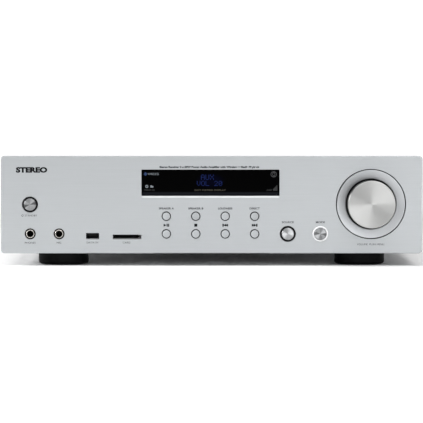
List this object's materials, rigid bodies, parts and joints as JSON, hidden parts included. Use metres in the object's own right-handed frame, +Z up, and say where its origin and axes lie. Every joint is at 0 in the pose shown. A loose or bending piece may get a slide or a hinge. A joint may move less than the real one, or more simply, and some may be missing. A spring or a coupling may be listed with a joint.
{
  "type": "stereo receiver",
  "caption": "Full-width stereo receiver with a push-turn volume knob, dot-matrix display, push buttons, front sockets, speaker and line terminals and a folding antenna.",
  "frame": {"origin": "the middle of the whole unit, on the shelf that the feet stand on", "axes": "+X to the right as a listener faces the front panel, +Y from the front panel to the back, +Z up"},
  "size_m": [0.43, 0.34, 0.1121],
  "materials": {
    "panel_aluminium": "satin",
    "dish_aluminium": "satin",
    "knob_aluminium": "satin",
    "button_aluminium": "satin",
    "shaft_steel": "satin",
    "plunger_plastic": "matte",
    "encoder_metal": "satin",
    "frame_plastic": "matte",
    "pan_steel": "satin",
    "rear_paint": "matte",
    "cover_paint": "satin",
    "foot_plastic": "satin",
    "foot_rubber": "matte",
    "screw_steel": "satin",
    "window_acrylic": "gloss",
    "display_plastic": "gloss",
    "ring_black": "gloss",
    "ring_white": "gloss",
    "switch_plastic": "matte",
    "board": "satin",
    "socket_plastic": "matte",
    "nickel": "polished",
    "socket_steel": "satin",
    "card_plastic": "matte",
    "gold": "polished",
    "terminal_plastic": "matte",
    "inlet_plastic": "satin",
    "rocker_plastic": "satin",
    "antenna_plastic": "satin",
    "transformer_tape": "satin",
    "heatsink_aluminium": "matte",
    "device_plastic": "matte",
    "capacitor_sleeve": "satin",
    "ribbon_plastic": "matte",
    "cap_red": "gloss",
    "cap_black": "gloss"
  },
  "bodies": {
    "unit": {"front_panel": "panel_aluminium", "volume_dish": "dish_aluminium", "volume_encoder": "encoder_metal", "front_frame": "frame_plastic", "bottom_chassis": "pan_steel", "rear_panel": "rear_paint", "top_cover": "cover_paint", "feet": "foot_plastic", "foot_pads": "foot_rubber", "case_screws": "screw_steel", "display_window": "window_acrylic", "display_module": "display_plastic", "button_rings": "ring_black", "mode_ring": "ring_white", "tact_switches": "switch_plastic", "control_board": "board", "socket_board": "board", "main_board": "board", "jack_sockets": "socket_plastic", "jack_bushes": "nickel", "usb_socket": "socket_steel", "card_slot": "card_plastic", "rca_block": "socket_plastic", "rca_sleeves": "gold", "terminal_block": "terminal_plastic", "binding_posts": "gold", "mains_inlet": "inlet_plastic", "switch_housing": "inlet_plastic", "antenna_jack": "gold", "transformer": "transformer_tape", "transformer_bolt": "screw_steel", "heatsink": "heatsink_aluminium", "power_transistors": "device_plastic", "reservoir_capacitors": "capacitor_sleeve", "ribbon_cable": "ribbon_plastic"},
    "volume_plunger": {"volume_plunger": "plunger_plastic"},
    "volume_knob": {"volume_knob": "knob_aluminium", "volume_shaft": "shaft_steel"},
    "standby_button": {"standby_button": "button_aluminium"},
    "source_button": {"source_button": "button_aluminium"},
    "mode_button": {"mode_button": "button_aluminium"},
    "button_speaker_a": {"button_speaker_a": "button_aluminium"},
    "button_speaker_b": {"button_speaker_b": "button_aluminium"},
    "button_loudness": {"button_loudness": "button_aluminium"},
    "button_direct": {"button_direct": "button_aluminium"},
    "button_play": {"button_play": "button_aluminium"},
    "button_stop": {"button_stop": "button_aluminium"},
    "button_previous": {"button_previous": "button_aluminium"},
    "button_next": {"button_next": "button_aluminium"},
    "power_rocker": {"power_rocker": "rocker_plastic"},
    "cap_a_left_minus": {"cap_a_left_minus": "cap_black"},
    "cap_a_left_plus": {"cap_a_left_plus": "cap_red"},
    "cap_a_right_minus": {"cap_a_right_minus": "cap_black"},
    "cap_a_right_plus": {"cap_a_right_plus": "cap_red"},
    "cap_b_left_minus": {"cap_b_left_minus": "cap_black"},
    "cap_b_left_plus": {"cap_b_left_plus": "cap_red"},
    "cap_b_right_minus": {"cap_b_right_minus": "cap_black"},
    "cap_b_right_plus": {"cap_b_right_plus": "cap_red"},
    "antenna_knuckle": {"antenna_knuckle": "antenna_plastic"},
    "antenna_rod": {"antenna_rod": "antenna_plastic"}
  },
  "joints": [
    {"name": "volume_push", "type": "slide", "parent": "unit", "child": "volume_plunger", "axis": [0, 1, 0], "range_m": [0, 0.0008], "stiffness_N_per_m": 1000, "springref_m": -0.001},
    {"name": "volume_turn", "type": "hinge", "parent": "volume_plunger", "child": "volume_knob", "pos_m": [0.1625, -0.152, 0.063], "axis": [0, -1, 0], "continuous": true},
    {"name": "standby_press", "type": "slide", "parent": "unit", "child": "standby_button", "axis": [0, 1, 0], "range_m": [0, 0.0008], "stiffness_N_per_m": 500, "springref_m": -0.001},
    {"name": "source_press", "type": "slide", "parent": "unit", "child": "source_button", "axis": [0, 1, 0], "range_m": [0, 0.0008], "stiffness_N_per_m": 500, "springref_m": -0.001},
    {"name": "mode_press", "type": "slide", "parent": "unit", "child": "mode_button", "axis": [0, 1, 0], "range_m": [0, 0.0008], "stiffness_N_per_m": 500, "springref_m": -0.001},
    {"name": "speaker_a_press", "type": "slide", "parent": "unit", "child": "button_speaker_a", "axis": [0, 1, 0], "range_m": [0, 0.0008], "stiffness_N_per_m": 400, "springref_m": -0.001},
    {"name": "speaker_b_press", "type": "slide", "parent": "unit", "child": "button_speaker_b", "axis": [0, 1, 0], "range_m": [0, 0.0008], "stiffness_N_per_m": 400, "springref_m": -0.001},
    {"name": "loudness_press", "type": "slide", "parent": "unit", "child": "button_loudness", "axis": [0, 1, 0], "range_m": [0, 0.0008], "stiffness_N_per_m": 400, "springref_m": -0.001},
    {"name": "direct_press", "type": "slide", "parent": "unit", "child": "button_direct", "axis": [0, 1, 0], "range_m": [0, 0.0008], "stiffness_N_per_m": 400, "springref_m": -0.001},
    {"name": "play_press", "type": "slide", "parent": "unit", "child": "button_play", "axis": [0, 1, 0], "range_m": [0, 0.0008], "stiffness_N_per_m": 400, "springref_m": -0.001},
    {"name": "stop_press", "type": "slide", "parent": "unit", "child": "button_stop", "axis": [0, 1, 0], "range_m": [0, 0.0008], "stiffness_N_per_m": 400, "springref_m": -0.001},
    {"name": "previous_press", "type": "slide", "parent": "unit", "child": "button_previous", "axis": [0, 1, 0], "range_m": [0, 0.0008], "stiffness_N_per_m": 400, "springref_m": -0.001},
    {"name": "next_press", "type": "slide", "parent": "unit", "child": "button_next", "axis": [0, 1, 0], "range_m": [0, 0.0008], "stiffness_N_per_m": 400, "springref_m": -0.001},
    {"name": "power_rock", "type": "hinge", "parent": "unit", "child": "power_rocker", "pos_m": [-0.176, 0.147, 0.08], "axis": [-1, 0, 0], "range_deg": [0, 22]},
    {"name": "cap_a_left_minus_unscrew", "type": "slide", "parent": "unit", "child": "cap_a_left_minus", "axis": [0, 1, 0], "range_m": [0, 0.0045]},
    {"name": "cap_a_left_plus_unscrew", "type": "slide", "parent": "unit", "child": "cap_a_left_plus", "axis": [0, 1, 0], "range_m": [0, 0.0045]},
    {"name": "cap_a_right_minus_unscrew", "type": "slide", "parent": "unit", "child": "cap_a_right_minus", "axis": [0, 1, 0], "range_m": [0, 0.0045]},
    {"name": "cap_a_right_plus_unscrew", "type": "slide", "parent": "unit", "child": "cap_a_right_plus", "axis": [0, 1, 0], "range_m": [0, 0.0045]},
    {"name": "cap_b_left_minus_unscrew", "type": "slide", "parent": "unit", "child": "cap_b_left_minus", "axis": [0, 1, 0], "range_m": [0, 0.0045]},
    {"name": "cap_b_left_plus_unscrew", "type": "slide", "parent": "unit", "child": "cap_b_left_plus", "axis": [0, 1, 0], "range_m": [0, 0.0045]},
    {"name": "cap_b_right_minus_unscrew", "type": "slide", "parent": "unit", "child": "cap_b_right_minus", "axis": [0, 1, 0], "range_m": [0, 0.0045]},
    {"name": "cap_b_right_plus_unscrew", "type": "slide", "parent": "unit", "child": "cap_b_right_plus", "axis": [0, 1, 0], "range_m": [0, 0.0045]},
    {"name": "antenna_swivel", "type": "hinge", "parent": "unit", "child": "antenna_knuckle", "pos_m": [0.01, 0.164, 0.088], "axis": [0, -1, 0], "range_deg": [0, 180]},
    {"name": "antenna_fold", "type": "hinge", "parent": "antenna_knuckle", "child": "antenna_rod", "pos_m": [0.01, 0.164, 0.088], "axis": [0, 0, 1], "range_deg": [0, 90]}
  ]
}
